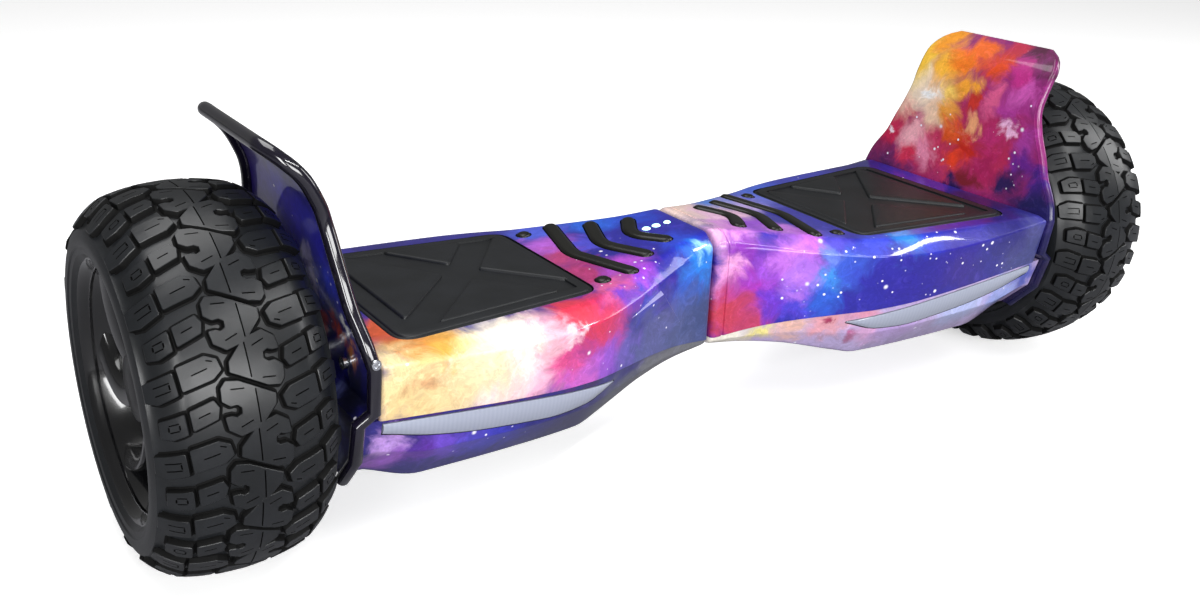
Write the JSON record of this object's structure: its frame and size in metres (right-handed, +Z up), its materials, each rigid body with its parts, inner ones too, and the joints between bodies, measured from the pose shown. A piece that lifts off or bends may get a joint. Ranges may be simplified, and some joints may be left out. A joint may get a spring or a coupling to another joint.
{
  "type": "self-balancing hoverboard",
  "caption": "Self-balancing board: tilting halves on a central pivot, foot pads, curved fenders and wide off-road hub-motor wheels.",
  "frame": {"origin": "on the ground under the middle of the board, at the bottom centre of its box", "axes": "+X along the axle line to the right half, -Y to the front, +Z up"},
  "size_m": [0.76, 0.216, 0.249],
  "materials": {
    "frame_casting": "die-cast aluminium, satin",
    "clamp_casting": "die-cast aluminium, satin",
    "axle_steel": "turned steel",
    "pivot_steel": "drawn steel tube",
    "stator_steel": "stacked electrical steel",
    "copper_wire": "enamelled copper winding",
    "black_bolts": "black oxide steel",
    "bright_screws": "zinc-plated steel",
    "light_lens": "frosted polycarbonate",
    "circuit_board": "glass-epoxy board with solder mask",
    "stop_rubber": "moulded rubber",
    "grip_rubber": "moulded rubber, satin",
    "pad_rubber": "moulded rubber, satin",
    "pedal_plastic": "moulded nylon",
    "cable_jacket": "soft cable jacket",
    "tyre_rubber": "moulded tyre rubber with a soft sheen",
    "rim_black": "gloss black enamel on cast aluminium",
    "magnet_steel": "plated magnets in a steel band",
    "motor_cover_black": "black enamel on cast aluminium",
    "bearing_steel": "ground bearing steel",
    "hub_cap_black": "gloss black ABS",
    "left_top_lacquer": "water-transfer nebula print under clear lacquer on ABS",
    "right_top_lacquer": "water-transfer nebula print under clear lacquer on ABS",
    "left_bottom_lacquer": "water-transfer nebula print under clear lacquer on ABS",
    "right_bottom_lacquer": "water-transfer nebula print under clear lacquer on ABS",
    "left_fender_lacquer": "water-transfer nebula print under clear lacquer on ABS",
    "right_fender_lacquer": "water-transfer nebula print under clear lacquer on ABS",
    "bush_bronze": "sintered bronze",
    "indicator_lens": "clear and tinted lamp lenses",
    "battery_wrap": "cells in heat-shrink sleeve",
    "socket_metal": "nickel-plated metal",
    "pin_gold": "gold-plated contacts",
    "switch_plastic": "moulded nylon",
    "button_metal": "stainless steel, turned"
  },
  "bodies": {
    "left_half": {"left_frame": "frame_casting", "left_axle": "axle_steel", "left_stator": "stator_steel", "left_windings": "copper_wire", "left_axle_clamp": "clamp_casting", "left_clamp_bolts": "black_bolts", "left_top_cover": "left_top_lacquer", "left_bottom_cover": "left_bottom_lacquer", "left_fender": "left_fender_lacquer", "left_fender_screws": "bright_screws", "left_cover_screws": "black_bolts", "left_front_light": "light_lens", "left_gyro_board": "circuit_board", "left_pad_stops": "stop_rubber", "left_grip_bars": "grip_rubber", "left_motor_cable": "cable_jacket", "pivot_tube": "pivot_steel", "pivot_circlip": "black_bolts", "indicator_lenses": "indicator_lens", "main_board": "circuit_board"},
    "right_half": {"right_frame": "frame_casting", "right_axle": "axle_steel", "right_stator": "stator_steel", "right_windings": "copper_wire", "right_axle_clamp": "clamp_casting", "right_clamp_bolts": "black_bolts", "right_top_cover": "right_top_lacquer", "right_bottom_cover": "right_bottom_lacquer", "right_fender": "right_fender_lacquer", "right_fender_screws": "bright_screws", "right_cover_screws": "black_bolts", "right_front_light": "light_lens", "right_gyro_board": "circuit_board", "right_pad_stops": "stop_rubber", "right_grip_bars": "grip_rubber", "right_motor_cable": "cable_jacket", "pivot_bushes": "bush_bronze", "battery_pack": "battery_wrap", "charge_socket": "socket_metal", "charge_pins": "pin_gold", "power_switch": "switch_plastic"},
    "left_wheel": {"left_tyre": "tyre_rubber", "left_rim": "rim_black", "left_magnet_ring": "magnet_steel", "left_motor_cover": "motor_cover_black", "left_wheel_bearings": "bearing_steel", "left_motor_screws": "bright_screws", "left_hub_cap": "hub_cap_black"},
    "right_wheel": {"right_tyre": "tyre_rubber", "right_rim": "rim_black", "right_magnet_ring": "magnet_steel", "right_motor_cover": "motor_cover_black", "right_wheel_bearings": "bearing_steel", "right_motor_screws": "bright_screws", "right_hub_cap": "hub_cap_black"},
    "left_pad": {"left_foot_pad": "pad_rubber", "left_pedal_plate": "pedal_plastic"},
    "right_pad": {"right_foot_pad": "pad_rubber", "right_pedal_plate": "pedal_plastic"},
    "power_button": {"power_button": "button_metal"}
  },
  "joints": [
    {"name": "halves_twist", "type": "hinge", "parent": "left_half", "child": "right_half", "pos_m": [0, 0, 0.108], "axis": [1, 0, 0], "range_deg": [-12, 12]},
    {"name": "left_wheel_spin", "type": "hinge", "parent": "left_half", "child": "left_wheel", "pos_m": [-0.3315, 0, 0.108], "axis": [1, 0, 0], "continuous": true},
    {"name": "right_wheel_spin", "type": "hinge", "parent": "right_half", "child": "right_wheel", "pos_m": [0.3315, 0, 0.108], "axis": [1, 0, 0], "continuous": true},
    {"name": "left_pad_press", "type": "slide", "parent": "left_half", "child": "left_pad", "axis": [0, 0, -1], "range_m": [0, 0.0015], "stiffness_N_per_m": 6000, "springref_m": -0.001},
    {"name": "right_pad_press", "type": "slide", "parent": "right_half", "child": "right_pad", "axis": [0, 0, -1], "range_m": [0, 0.0015], "stiffness_N_per_m": 6000, "springref_m": -0.001},
    {"name": "power_button_press", "type": "slide", "parent": "right_half", "child": "power_button", "axis": [0, -1, 0], "range_m": [0, 0.002], "stiffness_N_per_m": 1500, "springref_m": -0.001}
  ]
}
